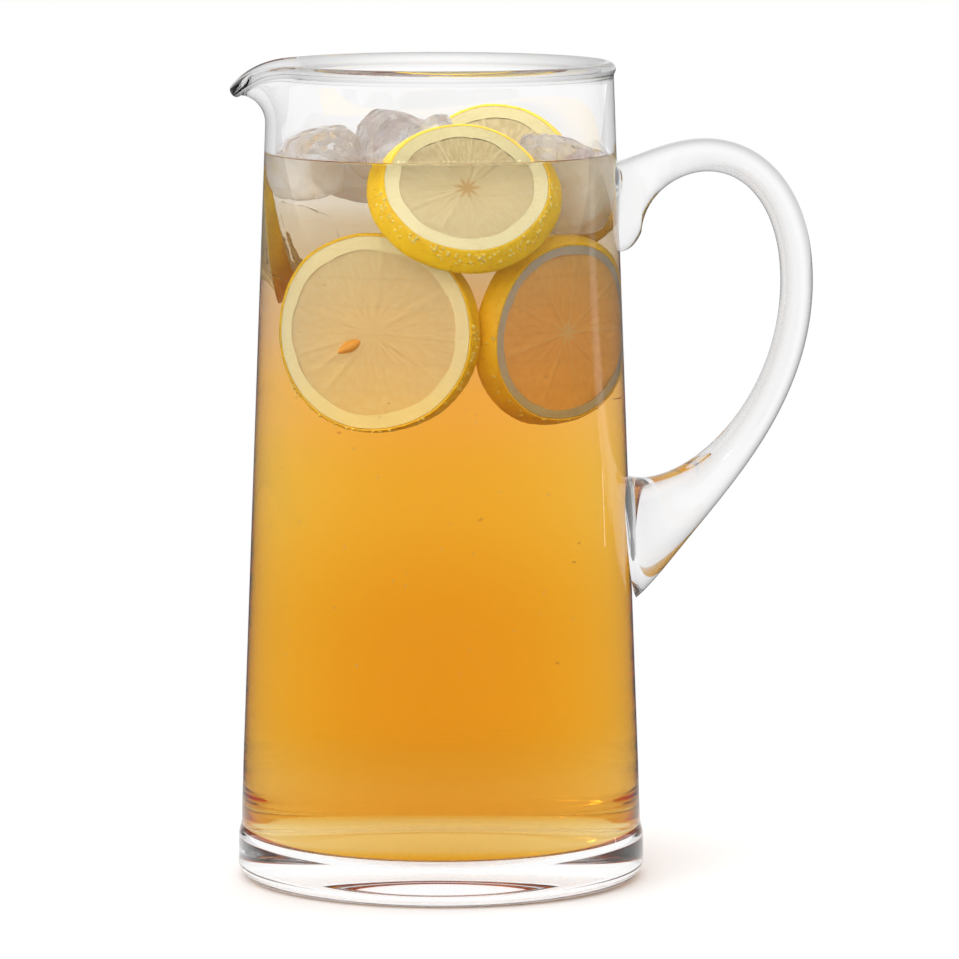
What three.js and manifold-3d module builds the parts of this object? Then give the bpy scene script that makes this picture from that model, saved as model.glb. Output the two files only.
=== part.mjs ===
// A tall glass pitcher of iced lemon tea: a blown body with a heavy base and a pulled spout, an applied
// glass handle, the drink that fills it, and the ice and lemon slices that float in the drink.
// Millimetres, +Z up. The origin is the centre of the base on the table, the spout points to -X and the
// handle to +X. The photograph looks along +Y.
import * as THREE from "three";
import { mergeVertices } from "three/addons/utils/BufferGeometryUtils.js";
import Module from "manifold-3d";

const wasm = await Module();
wasm.setup();

// Glass body
const RIM_HEIGHT = 250;        // table to the top of the rim
const BASE_DIAMETER = 124.6;   // outside, round the heavy base
const NECK_DIAMETER = 105.4;   // outside, just under the rim bead
const WALL = 3.2;              // thickness of the side
const BASE_THICKNESS = 13;     // table to the inside floor
const BASE_CORNER = 5;         // rounding of the outer bottom edge
const BASE_BAND = 12;          // height of the base's widest band
const BASE_BLEND = 3.5;        // height over which the base falls back to the line of the side
const BASE_SHOULDER = 0.8;     // how far the base stands out from the line of the side
const FLOOR_CORNER = 3;        // rounding between the inside floor and the side
const BEAD_DIAMETER = 4.4;     // roundness of the fire-polished rim
const BEAD_WRAP = THREE.MathUtils.degToRad(40);  // how far the bead turns under on both sides

// Pulled spout
const SPOUT_BEND_LENGTH = 19;  // stretch of the side under the rim that is bent outwards
const SPOUT_BEND_ANGLE = THREE.MathUtils.degToRad(104);
const SPOUT_HALF_ANGLE = THREE.MathUtils.degToRad(34);

// Handle: a rod that leaves the side at its root, turns round the grip and ends in a long foot
const ROOT_DROP = 42.9;        // rim down to the middle of the root
const GRIP_DROP = 67;          // rim down to the widest point of the loop
const FOOT_DROP = 142.7;       // rim down to the middle of the foot
const GRIP_REACH = 53.5;       // side of the body to the middle of the grip
const ROOT_PULL = 39.4;        // how far the rod keeps the direction in which it leaves the root
const ROOT_RISE = THREE.MathUtils.degToRad(44.7);
const FOOT_PULL = 17;          // how far the rod keeps the direction in which it meets the foot
const FOOT_RISE = THREE.MathUtils.degToRad(11);
const BEND_ABOVE = 37.5;       // roundness of the loop above the grip
const BEND_BELOW = 42.6;       // roundness of the loop below the grip
const ROOT_THICKNESS = 25.6;   // in the plane of the loop
const GRIP_THICKNESS = 9.9;
const FOOT_THICKNESS = 43.3;
const ROOT_BREADTH = 22;       // across the loop
const GRIP_BREADTH = 13;
const FOOT_BREADTH = 27;
const ROOT_FLARE = 11;         // how late the rod swells towards its root
const FOOT_FLARE = 3.8;        // how late the rod swells towards its foot
const TAIL_LENGTH = 15;        // tail of glass folded down under the root
const TAIL_THICKNESS = 7;
const TAIL_TIP = 1.8;          // thickness at the end of the tail

// Drink, fruit and ice
const HEADSPACE = 27.5;        // rim down to the surface of the drink
const LEMON_DIAMETER = 60;
const LEMON_LENGTH = 72;       // tip to tip, which sets how fast the slices taper
const SLICE_THICKNESS = 6.6;
const PEEL = 1.2;              // yellow outer skin
const PITH = 3.9;              // white layer under it
const CORE_DIAMETER = 5;
const SEGMENT_COUNT = 9;
const MEMBRANE_DEPTH = 0.7;    // groove between two segments of the flesh
const ICE_RATIO = 4.25;        // neck diameter over the side of a fresh ice cube
const MELT = 4;                // exponent of the rounded ice blocks: 2 is an egg, higher is squarer

// Clearances
const FIT = 0.3;               // between pieces that touch
const DRINK_FIT = 0.4;         // between the drink and the glass
const BURIED = 2;              // how far the handle's ends run into the body before they are cut to it

// Smoothness
const ROUND_STEPS = 60;
const FRUIT_STEPS = 36;
const CORNER_STEPS = 2;
const BEAD_STEPS = 4;
const BEND_STEPS = 5;
const ROD_SIDES = 14;
const ROD_RINGS = 16;
const TAIL_RINGS = 7;
const ICE_STEPS = 14;
const ICE_RINGS = 9;
const SAME_POINT = 1e-3;       // vertices nearer than this are one

const RIM_RADIUS = NECK_DIAMETER / 2;
const BASE_RADIUS = BASE_DIAMETER / 2;
const LEVEL = RIM_HEIGHT - HEADSPACE;
const BEAD_RADIUS = BEAD_DIAMETER / 2;
const ICE_CUBE = NECK_DIAMETER / ICE_RATIO;

// Colours, roughness and metalness of the materials
const GLASS = { color: 0xe8eeee, roughness: 0.04, metalness: 0, transparent: true, opacity: 0.3 };
const TEA = { color: 0xdf9c3f, roughness: 0.08, metalness: 0, transparent: true, opacity: 0.75 };
const ICE = { color: 0xd9d8da, roughness: 0.15, metalness: 0, transparent: true, opacity: 0.6 };
const ZEST = { color: 0xf2bd10, roughness: 0.45, metalness: 0 };
const WHITE_PITH = { color: 0xf6eecb, roughness: 0.7, metalness: 0 };
const FLESH = { color: 0xdcc084, roughness: 0.35, metalness: 0 };

const part = new THREE.Group();

function addMesh(parent, name, geometry, look) {
  const mesh = new THREE.Mesh(geometry, new THREE.MeshStandardMaterial(look));
  mesh.name = name;
  parent.add(mesh);
  return mesh;
}

// A closed profile of radius and height turned round the Z axis
function turned(profile, steps) {
  const geometry = new THREE.LatheGeometry(profile, steps);
  return geometry.rotateX(Math.PI / 2);
}

function solidOf(geometry, matrix) {
  const bare = geometry.clone();
  bare.deleteAttribute("normal");
  bare.deleteAttribute("uv");
  if (matrix) bare.applyMatrix4(matrix);
  const merged = mergeVertices(bare, SAME_POINT);
  const vertProperties = new Float32Array(merged.attributes.position.array);
  const triVerts = new Uint32Array(merged.index.array);
  return new wasm.Manifold(new wasm.Mesh({ numProp: 3, vertProperties, triVerts }));
}

function geometryOf(solid) {
  const mesh = solid.getMesh();
  const geometry = new THREE.BufferGeometry();
  geometry.setAttribute("position", new THREE.BufferAttribute(mesh.vertProperties, 3));
  geometry.setIndex(new THREE.BufferAttribute(mesh.triVerts, 1));
  geometry.computeVertexNormals();
  return geometry;
}

// Outside of the plain conical side at a height, and the inside one wall further in
function outerRadius(height) {
  const share = (height - BASE_BAND) / (RIM_HEIGHT - BEAD_DIAMETER - BASE_BAND);
  return THREE.MathUtils.lerp(BASE_RADIUS - BASE_SHOULDER, RIM_RADIUS, share);
}

function innerRadius(height) {
  return outerRadius(height) - WALL;
}

// Inside of the glass from the middle of the floor up to a height, moved inwards by a gap
function insideProfile(top, gap, upright) {
  const path = new THREE.Path();
  const floor = BASE_THICKNESS + gap;
  const corner = FLOOR_CORNER;
  const side = innerRadius(floor + corner) - gap;
  path.moveTo(0, floor);
  path.lineTo(side - corner, floor);
  path.absarc(side - corner, floor + corner, corner, -Math.PI / 2, 0, false);
  const points = path.getPoints(CORNER_STEPS);
  for (const height of upright) {
    points.push(new THREE.Vector2(innerRadius(height) - gap, height));
  }
  points.push(new THREE.Vector2(innerRadius(top) - gap, top));
  return points;
}

// Heights at which the bent stretch of the spout gets a ring of vertices
function bendHeights() {
  const bottom = RIM_HEIGHT - SPOUT_BEND_LENGTH;
  const top = RIM_HEIGHT - BEAD_DIAMETER;
  const heights = [];
  for (let step = 0; step < BEND_STEPS; step += 1) {
    heights.push(THREE.MathUtils.lerp(bottom, top, step / BEND_STEPS));
  }
  return heights;
}

function bodyProfile() {
  const path = new THREE.Path();
  const corner = BASE_RADIUS - BASE_CORNER;
  path.moveTo(0, 0);
  path.lineTo(corner, 0);
  path.absarc(corner, BASE_CORNER, BASE_CORNER, -Math.PI / 2, 0, false);
  const points = path.getPoints(CORNER_STEPS);
  points.push(new THREE.Vector2(BASE_RADIUS, BASE_BAND));
  const blend = BASE_BAND + BASE_BLEND;
  points.push(new THREE.Vector2(outerRadius(blend), blend));
  for (const height of bendHeights()) {
    points.push(new THREE.Vector2(outerRadius(height), height));
  }
  const bead = new THREE.Path();
  const beadEnd = Math.PI + BEAD_WRAP;
  bead.absarc(RIM_RADIUS - WALL / 2, RIM_HEIGHT - BEAD_RADIUS, BEAD_RADIUS, -BEAD_WRAP, beadEnd, false);
  points.push(...bead.getPoints(BEAD_STEPS));
  const inside = insideProfile(RIM_HEIGHT - BEAD_DIAMETER, 0, bendHeights());
  points.push(...inside.reverse());
  return points;
}

// Bends the side outwards and down under the spout, most at its middle and not at all past its half angle
function pullSpout(geometry) {
  const position = geometry.attributes.position;
  const start = RIM_HEIGHT - SPOUT_BEND_LENGTH;
  for (let index = 0; index < position.count; index += 1) {
    const x = position.getX(index);
    const y = position.getY(index);
    const along = position.getZ(index) - start;
    const off = Math.abs(Math.atan2(y, -x));
    if (along <= 0 || off >= SPOUT_HALF_ANGLE) continue;
    const share = Math.cos((Math.PI / 2) * (off / SPOUT_HALF_ANGLE)) ** 2;
    const curl = (SPOUT_BEND_ANGLE * share) / SPOUT_BEND_LENGTH;
    const turn = curl * along;
    const middle = outerRadius(start + along) - WALL / 2;
    const across = Math.hypot(x, y) - middle;
    const radius = middle + (1 - Math.cos(turn)) / curl + across * Math.cos(turn);
    const height = start + Math.sin(turn) / curl - across * Math.sin(turn);
    const scale = radius / Math.hypot(x, y);
    position.setXYZ(index, x * scale, y * scale, height);
  }
  return geometry;
}

function glassBody() {
  return pullSpout(turned(bodyProfile(), ROUND_STEPS));
}

// A rod of oval rings, each with a middle, an axis in the plane of the loop and a breadth across it
function loft(rings) {
  const vertices = [];
  const faces = [];
  for (const ring of rings) {
    for (let side = 0; side < ROD_SIDES; side += 1) {
      const angle = (side / ROD_SIDES) * Math.PI * 2;
      const point = ring.middle.clone().addScaledVector(ring.axis, Math.cos(angle) * ring.thickness / 2);
      vertices.push(point.x, Math.sin(angle) * ring.breadth / 2, point.y);
    }
  }
  const first = vertices.length / 3;
  const last = rings[rings.length - 1];
  vertices.push(rings[0].middle.x, 0, rings[0].middle.y);
  vertices.push(last.middle.x, 0, last.middle.y);
  for (let side = 0; side < ROD_SIDES; side += 1) {
    const next = (side + 1) % ROD_SIDES;
    faces.push(first, side, next);
    for (let ring = 0; ring + 1 < rings.length; ring += 1) {
      const here = ring * ROD_SIDES;
      const there = here + ROD_SIDES;
      faces.push(here + side, there + side, there + next);
      faces.push(here + side, there + next, here + next);
    }
    const end = (rings.length - 1) * ROD_SIDES;
    faces.push(first + 1, end + next, end + side);
  }
  const geometry = new THREE.BufferGeometry();
  geometry.setAttribute("position", new THREE.Float32BufferAttribute(vertices, 3));
  geometry.setIndex(faces);
  return geometry;
}

// Rings along one curve of the handle, swelling from its slim end to its wide end
function rodRings(curve, wideAtStart, wide, flare) {
  const rings = [];
  for (let step = 0; step <= ROD_RINGS; step += 1) {
    const share = step / ROD_RINGS;
    const swell = (wideAtStart ? 1 - share : share) ** flare;
    const tangent = curve.getTangent(share);
    rings.push({
      middle: curve.getPoint(share),
      axis: new THREE.Vector2(-tangent.y, tangent.x),
      thickness: THREE.MathUtils.lerp(GRIP_THICKNESS, wide.thickness, swell),
      breadth: THREE.MathUtils.lerp(GRIP_BREADTH, wide.breadth, swell),
    });
  }
  return rings;
}

function polar(length, angle) {
  return new THREE.Vector2(Math.cos(angle) * length, Math.sin(angle) * length);
}

function handleRod() {
  const onSide = (drop, out) => new THREE.Vector2(outerRadius(RIM_HEIGHT - drop) + out, RIM_HEIGHT - drop);
  const root = onSide(ROOT_DROP, -BURIED);
  const grip = onSide(GRIP_DROP, GRIP_REACH);
  const foot = onSide(FOOT_DROP, -BURIED);
  const leaving = root.clone().add(polar(ROOT_PULL, ROOT_RISE));
  const above = grip.clone().add(new THREE.Vector2(0, BEND_ABOVE));
  const below = grip.clone().sub(new THREE.Vector2(0, BEND_BELOW));
  const arriving = foot.clone().add(polar(FOOT_PULL, FOOT_RISE));
  const upper = new THREE.CubicBezierCurve(root, leaving, above, grip);
  const lower = new THREE.CubicBezierCurve(grip, below, arriving, foot);
  const rootEnd = { thickness: ROOT_THICKNESS, breadth: ROOT_BREADTH };
  const footEnd = { thickness: FOOT_THICKNESS, breadth: FOOT_BREADTH };
  const rings = rodRings(upper, true, rootEnd, ROOT_FLARE);
  rings.push(...rodRings(lower, false, footEnd, FOOT_FLARE).slice(1));
  return loft(rings);
}

// The tail of the root, folded down along the side and drawn out to a tip
function handleTail() {
  const top = RIM_HEIGHT - ROOT_DROP;
  const side = outerRadius(top) + FIT + TAIL_THICKNESS / 2;
  const start = new THREE.Vector2(side, top + TAIL_THICKNESS / 2);
  const bulge = new THREE.Vector2(side + TAIL_THICKNESS / 2, top - TAIL_LENGTH / 2);
  const tip = new THREE.Vector2(outerRadius(top - TAIL_LENGTH) + TAIL_THICKNESS / 2, top - TAIL_LENGTH);
  const curve = new THREE.QuadraticBezierCurve(start, bulge, tip);
  const rings = [];
  for (let step = 0; step <= TAIL_RINGS; step += 1) {
    const share = step / TAIL_RINGS;
    const tangent = curve.getTangent(share);
    rings.push({
      middle: curve.getPoint(share),
      axis: new THREE.Vector2(-tangent.y, tangent.x),
      thickness: THREE.MathUtils.lerp(TAIL_THICKNESS, TAIL_TIP, share * share),
      breadth: THREE.MathUtils.lerp(GRIP_BREADTH, TAIL_TIP, share * share),
    });
  }
  return loft(rings);
}

// The plain cone of the body's outside, moved outwards by a gap, which the handle's ends are cut to
function bodyCone(gap) {
  const profile = [
    new THREE.Vector2(0, BASE_BAND),
    new THREE.Vector2(outerRadius(BASE_BAND) + gap, BASE_BAND),
    new THREE.Vector2(outerRadius(RIM_HEIGHT) + gap, RIM_HEIGHT),
    new THREE.Vector2(0, RIM_HEIGHT),
  ];
  return turned(profile, ROUND_STEPS);
}

function glassHandle() {
  const whole = solidOf(handleRod()).add(solidOf(handleTail()));
  return geometryOf(whole.subtract(solidOf(bodyCone(FIT))));
}

// Radius of the lemon at a distance from its middle
function lemonRadius(along) {
  return (LEMON_DIAMETER / 2) * Math.sqrt(1 - (along / (LEMON_LENGTH / 2)) ** 2);
}

// Outline of the lemon between the two faces of a slice, moved inwards, and the faces moved outwards
function rindLine(cut, inset, grow) {
  const half = SLICE_THICKNESS / 2;
  const bottom = new THREE.Vector2(lemonRadius(cut - half) - inset, -half - grow);
  const top = new THREE.Vector2(lemonRadius(cut + half) - inset, half + grow);
  return [bottom, top];
}

function sliceRing(cut, outside, inside) {
  const loop = rindLine(cut, outside, 0).concat(rindLine(cut, inside, 0).reverse());
  loop.push(loop[0].clone());
  return turned(loop, FRUIT_STEPS);
}

function sliceDisc(cut, inset, grow) {
  const [bottom, top] = rindLine(cut, inset, grow);
  const core = CORE_DIAMETER / 2;
  const profile = [new THREE.Vector2(0, bottom.y), new THREE.Vector2(core, bottom.y), bottom];
  profile.push(top, new THREE.Vector2(core, top.y), new THREE.Vector2(0, top.y));
  return turned(profile, FRUIT_STEPS);
}

// Sinks both faces and the edge of the flesh along the membranes between its segments
function cutMembranes(geometry) {
  const position = geometry.attributes.position;
  const stepsPerSegment = FRUIT_STEPS / SEGMENT_COUNT;
  for (let index = 0; index < position.count; index += 1) {
    const x = position.getX(index);
    const y = position.getY(index);
    const step = Math.round((Math.atan2(y, x) / (Math.PI * 2)) * FRUIT_STEPS);
    const radius = Math.hypot(x, y);
    if (step % stepsPerSegment !== 0 || radius < MEMBRANE_DEPTH) continue;
    const scale = 1 - MEMBRANE_DEPTH / radius;
    const height = position.getZ(index);
    position.setXYZ(index, x * scale, y * scale, height - Math.sign(height) * MEMBRANE_DEPTH);
  }
  return geometry;
}

// How far out a set of points can go in one direction before one of them comes to the inside of the glass
function seatDistance(points, outward, gap) {
  let least = Infinity;
  for (const point of points) {
    const wall = innerRadius(point.z) - gap;
    const ahead = point.x * outward.x + point.y * outward.y;
    const aside = point.x * outward.y - point.y * outward.x;
    least = Math.min(least, Math.sqrt(wall * wall - aside * aside) - ahead);
  }
  return least;
}

// Direction of an angle round the axis, from the front of the photograph towards the handle
function towards(angle) {
  return new THREE.Vector3(Math.sin(angle), -Math.cos(angle), 0);
}

// Turns a slice to face outwards at an angle round the axis, tilts it up, moves it along the side and
// pushes it outwards against the glass
function sliceMatrix(slice) {
  const facing = slice.facing;
  const tilt = THREE.MathUtils.degToRad(slice.tilt);
  const outward = towards(facing);
  const sideways = new THREE.Vector3(Math.cos(facing), Math.sin(facing), 0);
  const normal = outward.clone().multiplyScalar(Math.cos(tilt));
  normal.z = Math.sin(tilt);
  const upward = new THREE.Vector3().crossVectors(normal, sideways);
  const matrix = new THREE.Matrix4().makeBasis(sideways, upward, normal);
  const centre = sideways.clone().multiplyScalar(slice.shift * LEMON_DIAMETER);
  centre.z = LEVEL - slice.depth * LEMON_DIAMETER;
  const rim = [];
  for (const point of rindLine(slice.cut * LEMON_LENGTH, 0, 0)) {
    for (let step = 0; step < FRUIT_STEPS; step += 1) {
      const angle = (step / FRUIT_STEPS) * Math.PI * 2;
      const onRim = new THREE.Vector3(Math.cos(angle) * point.x, Math.sin(angle) * point.x, point.y);
      rim.push(onRim.applyMatrix4(matrix).add(centre));
    }
  }
  centre.addScaledVector(outward, seatDistance(rim, outward, DRINK_FIT));
  return matrix.setPosition(centre);
}

function addSlice(slice) {
  const group = new THREE.Group();
  group.applyMatrix4(sliceMatrix(slice));
  const cut = slice.cut * LEMON_LENGTH;
  addMesh(group, `${slice.name}_peel`, sliceRing(cut, 0, PEEL), ZEST);
  addMesh(group, `${slice.name}_pith`, sliceRing(cut, PEEL + FIT, PEEL + PITH), WHITE_PITH);
  const flesh = cutMembranes(sliceDisc(cut, PEEL + PITH + FIT, 0));
  addMesh(group, `${slice.name}_flesh`, flesh, FLESH);
  part.add(group);
  group.updateMatrixWorld();
  return solidOf(sliceDisc(cut, -FIT, FIT), group.matrixWorld);
}

// A block of ice with rounded corners, grown by a gap, leaning as it melts
function iceBlock(block, grow) {
  const geometry = new THREE.SphereGeometry(1, ICE_STEPS, ICE_RINGS);
  const position = geometry.attributes.position;
  const point = new THREE.Vector3();
  for (let index = 0; index < position.count; index += 1) {
    point.fromBufferAttribute(position, index);
    const power = Math.abs(point.x) ** MELT + Math.abs(point.y) ** MELT + Math.abs(point.z) ** MELT;
    point.multiplyScalar(power ** (-1 / MELT));
    const lean = block.lean * ICE_CUBE * point.z;
    point.x *= (block.length * ICE_CUBE) / 2 + grow + lean;
    point.y *= (block.width * ICE_CUBE) / 2 + grow - lean;
    point.z *= (block.height * ICE_CUBE) / 2 + grow;
    position.setXYZ(index, point.x, point.y, point.z);
  }
  return geometry;
}

function iceMatrix(block) {
  const turn = new THREE.Euler(...block.turn.map(THREE.MathUtils.degToRad));
  const matrix = new THREE.Matrix4().makeRotationFromEuler(turn);
  const outward = towards(THREE.MathUtils.degToRad(block.towards));
  const position = iceBlock(block, 0).attributes.position;
  const height = LEVEL + block.rise * ICE_CUBE;
  const points = [];
  for (let index = 0; index < position.count; index += 1) {
    points.push(new THREE.Vector3().fromBufferAttribute(position, index).applyMatrix4(matrix));
    points[index].z += height;
  }
  const out = seatDistance(points, outward, DRINK_FIT) - block.inwards * ICE_CUBE;
  const centre = outward.multiplyScalar(out);
  centre.z = height;
  return matrix.setPosition(centre);
}

// Adds a block of ice that has melted clear of what lies beside it, and gives its hollow in the drink
function addIce(block, neighbours) {
  const matrix = iceMatrix(block);
  let solid = solidOf(iceBlock(block, 0), matrix);
  for (const neighbour of neighbours) solid = solid.subtract(neighbour);
  addMesh(part, block.name, geometryOf(solid), ICE);
  return solidOf(iceBlock(block, FIT), matrix);
}

function drink(hollows) {
  const profile = insideProfile(LEVEL, DRINK_FIT, []);
  profile.push(new THREE.Vector2(0, LEVEL));
  let solid = solidOf(turned(profile, ROUND_STEPS));
  for (const hollow of hollows) solid = solid.subtract(hollow);
  return geometryOf(solid);
}

// Half of the angle, seen from the axis, that a slice takes up where it stands against the glass
const SPREAD = Math.asin(LEMON_DIAMETER / 2 / innerRadius(LEVEL));

// Lemon slices: where each is cut, as a share of the lemon's length, which way its face looks, its tilt in
// degrees, and its shift along the side and depth in the drink, as shares of the lemon's diameter
const SLICES = [
  { name: "lemon_front", cut: 0, facing: -0.55 * SPREAD, tilt: 5, shift: -0.1, depth: 0.867 },
  { name: "lemon_right", cut: 0.17, facing: 1.3 * SPREAD, tilt: -4, shift: 0.15, depth: 0.883 },
  { name: "lemon_top", cut: 0.262, facing: 0.248 * SPREAD, tilt: 40, shift: 0.035, depth: 0.168 },
  { name: "lemon_left", cut: -0.36, facing: -2.98 * SPREAD, tilt: -15, shift: 0, depth: 0.39 },
  { name: "lemon_back", cut: -0.236, facing: Math.PI - 0.1 * SPREAD, tilt: -35, shift: -0.245, depth: 0.157 },
];

// Ice: its turn and its direction from the axis in degrees, and its size, lean, distance in from the glass
// and middle over the surface as shares of a fresh cube
const ICE_BLOCKS = [
  { name: "ice_left", length: 0.88, width: 1.04, height: 0.88, lean: 0.06, turn: [8, -14, 20],
    towards: -80, inwards: 0.04, rise: -0.12 },
  { name: "ice_middle", length: 1.08, width: 1.04, height: 1.12, lean: 0.08, turn: [-12, 18, 35],
    towards: -120, inwards: 0.76, rise: -0.09 },
  { name: "ice_bar", length: 1.2, width: 0.36, height: 0.48, lean: 0.04, turn: [0, -32, 8],
    towards: -50, inwards: 1.04, rise: 0.08 },
  { name: "ice_right", length: 1.08, width: 0.88, height: 1.24, lean: 0.08, turn: [6, 10, -15],
    towards: 80, inwards: 0.04, rise: -0.38 },
  { name: "ice_back", length: 0.96, width: 0.88, height: 0.96, lean: 0.06, turn: [10, 5, 40],
    towards: -165, inwards: 0.12, rise: -0.24 },
  { name: "ice_sunk", length: 0.88, width: 0.8, height: 0.96, lean: 0.06, turn: [20, 12, -30],
    towards: -75, inwards: 0, rise: -1.08 },
];

addMesh(part, "glass_body", glassBody(), GLASS);
addMesh(part, "glass_handle", glassHandle(), GLASS);
const hollows = SLICES.map(addSlice);
for (const block of ICE_BLOCKS) hollows.push(addIce(block, hollows));
addMesh(part, "drink", drink(hollows), TEA);

export default part;
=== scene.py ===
"""A glass pitcher of iced lemon tea, dressed around its packed CAD model."""
import math
import random

import bmesh
import bpy
import numpy as np
from bpy.props import FloatProperty, FloatVectorProperty, IntProperty, PointerProperty
from bpy.types import Operator, Panel, PropertyGroup
from mathutils import Matrix, Vector, noise


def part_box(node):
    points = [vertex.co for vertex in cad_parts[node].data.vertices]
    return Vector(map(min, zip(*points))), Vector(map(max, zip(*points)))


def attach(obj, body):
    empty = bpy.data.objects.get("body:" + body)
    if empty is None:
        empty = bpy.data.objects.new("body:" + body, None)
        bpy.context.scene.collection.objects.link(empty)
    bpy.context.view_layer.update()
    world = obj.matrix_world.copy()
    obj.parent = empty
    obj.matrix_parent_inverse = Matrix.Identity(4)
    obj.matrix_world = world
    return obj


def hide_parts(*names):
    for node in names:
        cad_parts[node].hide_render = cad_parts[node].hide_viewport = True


bl_info = {
    "name": "Pitcher of iced lemon tea",
    "version": (1, 0, 0),
    "blender": (4, 5, 0),
    "location": "3D View > Sidebar > Pitcher",
    "description": "Builds the glass, the drink, the lemon slices and the ice of a pitcher",
    "category": "Object",
}

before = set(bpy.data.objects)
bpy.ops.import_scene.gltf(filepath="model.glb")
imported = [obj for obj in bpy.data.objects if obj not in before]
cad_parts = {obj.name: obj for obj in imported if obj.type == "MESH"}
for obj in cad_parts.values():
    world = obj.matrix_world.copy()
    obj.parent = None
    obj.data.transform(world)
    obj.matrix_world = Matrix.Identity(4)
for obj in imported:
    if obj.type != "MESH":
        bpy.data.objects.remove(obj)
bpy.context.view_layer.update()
BODY_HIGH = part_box("glass_body")[1]
DRINK_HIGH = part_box("drink")[1]

MM = 0.001
TINY = 1e-6
SLICE_NAMES = ("lemon_front", "lemon_right", "lemon_top", "lemon_left", "lemon_back")
ICE_NAMES = ("ice_left", "ice_middle", "ice_bar", "ice_right", "ice_back", "ice_sunk")

# Fineness of the meshes
BODY_STEPS = 240
DRINK_STEPS = 160
PUNT_STEPS = 13
FLOOR_STEPS = 16
CORNER_STEPS = 14
OUTSIDE_STEPS = 20
INSIDE_STEPS = 24
BLEND_STEPS = 8
LIP_STEPS = 12
BEAD_STEPS = 24
HANDLE_RINGS = 220
HANDLE_SIDES = 64
PEEL_STEPS = 200
FLESH_STEPS = 216
FLESH_RINGS = 34
SHARP_ANGLE = math.radians(38)

# How strongly light bends; the wet index is that of glass against water
GLASS_INDEX = 1.5
WATER_INDEX = 1.33
WET_INDEX = 1.128
ICE_INDEX = 1.31

WHITE = (1.0, 1.0, 1.0)

# How far the membranes of a slice stray from even turns, in two and in three waves round it
TWO_WAVES = 0.10
THREE_WAVES = 0.06
THREE_WAVES_TURN = 2.3


def length(name, description, default):
    """A size in metres that the panel shows in the scene's units."""
    return FloatProperty(
        name=name, description=description, default=default, min=0.0, subtype="DISTANCE", unit="LENGTH"
    )


def colour(name, description, default):
    """A linear colour that the panel shows as a swatch."""
    return FloatVectorProperty(
        name=name, description=description, default=default, min=0.0, max=1.0, size=3, subtype="COLOR"
    )


def number(name, description, default):
    """A plain number, such as a share or a strength."""
    return FloatProperty(name=name, description=description, default=default)


def angle(name, description, degrees):
    """An angle that is given in degrees and kept in radians."""
    return FloatProperty(
        name=name, description=description, default=math.radians(degrees), subtype="ANGLE", unit="ROTATION"
    )


class PitcherGlass(PropertyGroup):
    """Sizes and painted edge shade of the body and the handle."""

    rim_height: length("Rim height", "Table to the top of the rim", BODY_HIGH.z)
    base_diameter: length("Base diameter", "Outside, round the heavy base", 2 * BODY_HIGH.y)
    neck_diameter: length("Neck diameter", "Outside, just under the rim bead", 105.4 * MM)
    wall: length("Wall", "Thickness of the side", 3.2 * MM)
    base_thickness: length("Base thickness", "Table to the inside floor", 13 * MM)
    base_corner: length("Base corner", "Rounding of the outer bottom edge", 5 * MM)
    base_band: length("Base band", "Height of the widest band", 12 * MM)
    base_blend: length("Base blend", "Height over which the base falls back to the side", 5.5 * MM)
    base_shoulder: length("Base shoulder", "How far the base stands out from the side", 0.8 * MM)
    floor_corner: length("Floor corner", "Rounding between the inside floor and the side", 3 * MM)
    punt: length("Punt", "How far the middle of the underside is pushed up", 4 * MM)
    dome: length("Dome", "How far the middle of the inside floor is pushed up", 5 * MM)
    bead_diameter: length("Bead diameter", "Roundness of the fire-polished rim", 4.4 * MM)
    spout_bend: length("Spout bend", "Stretch of the side that is bent outwards", 19 * MM)
    spout_angle: angle("Spout angle", "How far the lip of the spout turns over", 104)
    spout_half: angle("Spout half angle", "Half of the spout's width round the rim", 34)
    # The edge and rim colours are painted shade, greying the glass where it is seen along its surface
    painted_edge_shade: colour("Edge tint", "Glass seen along its surface", (0.40, 0.41, 0.42))
    painted_rim_shade: colour("Rim tint", "The rim's bead seen along its surface", (0.06, 0.06, 0.065))


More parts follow.
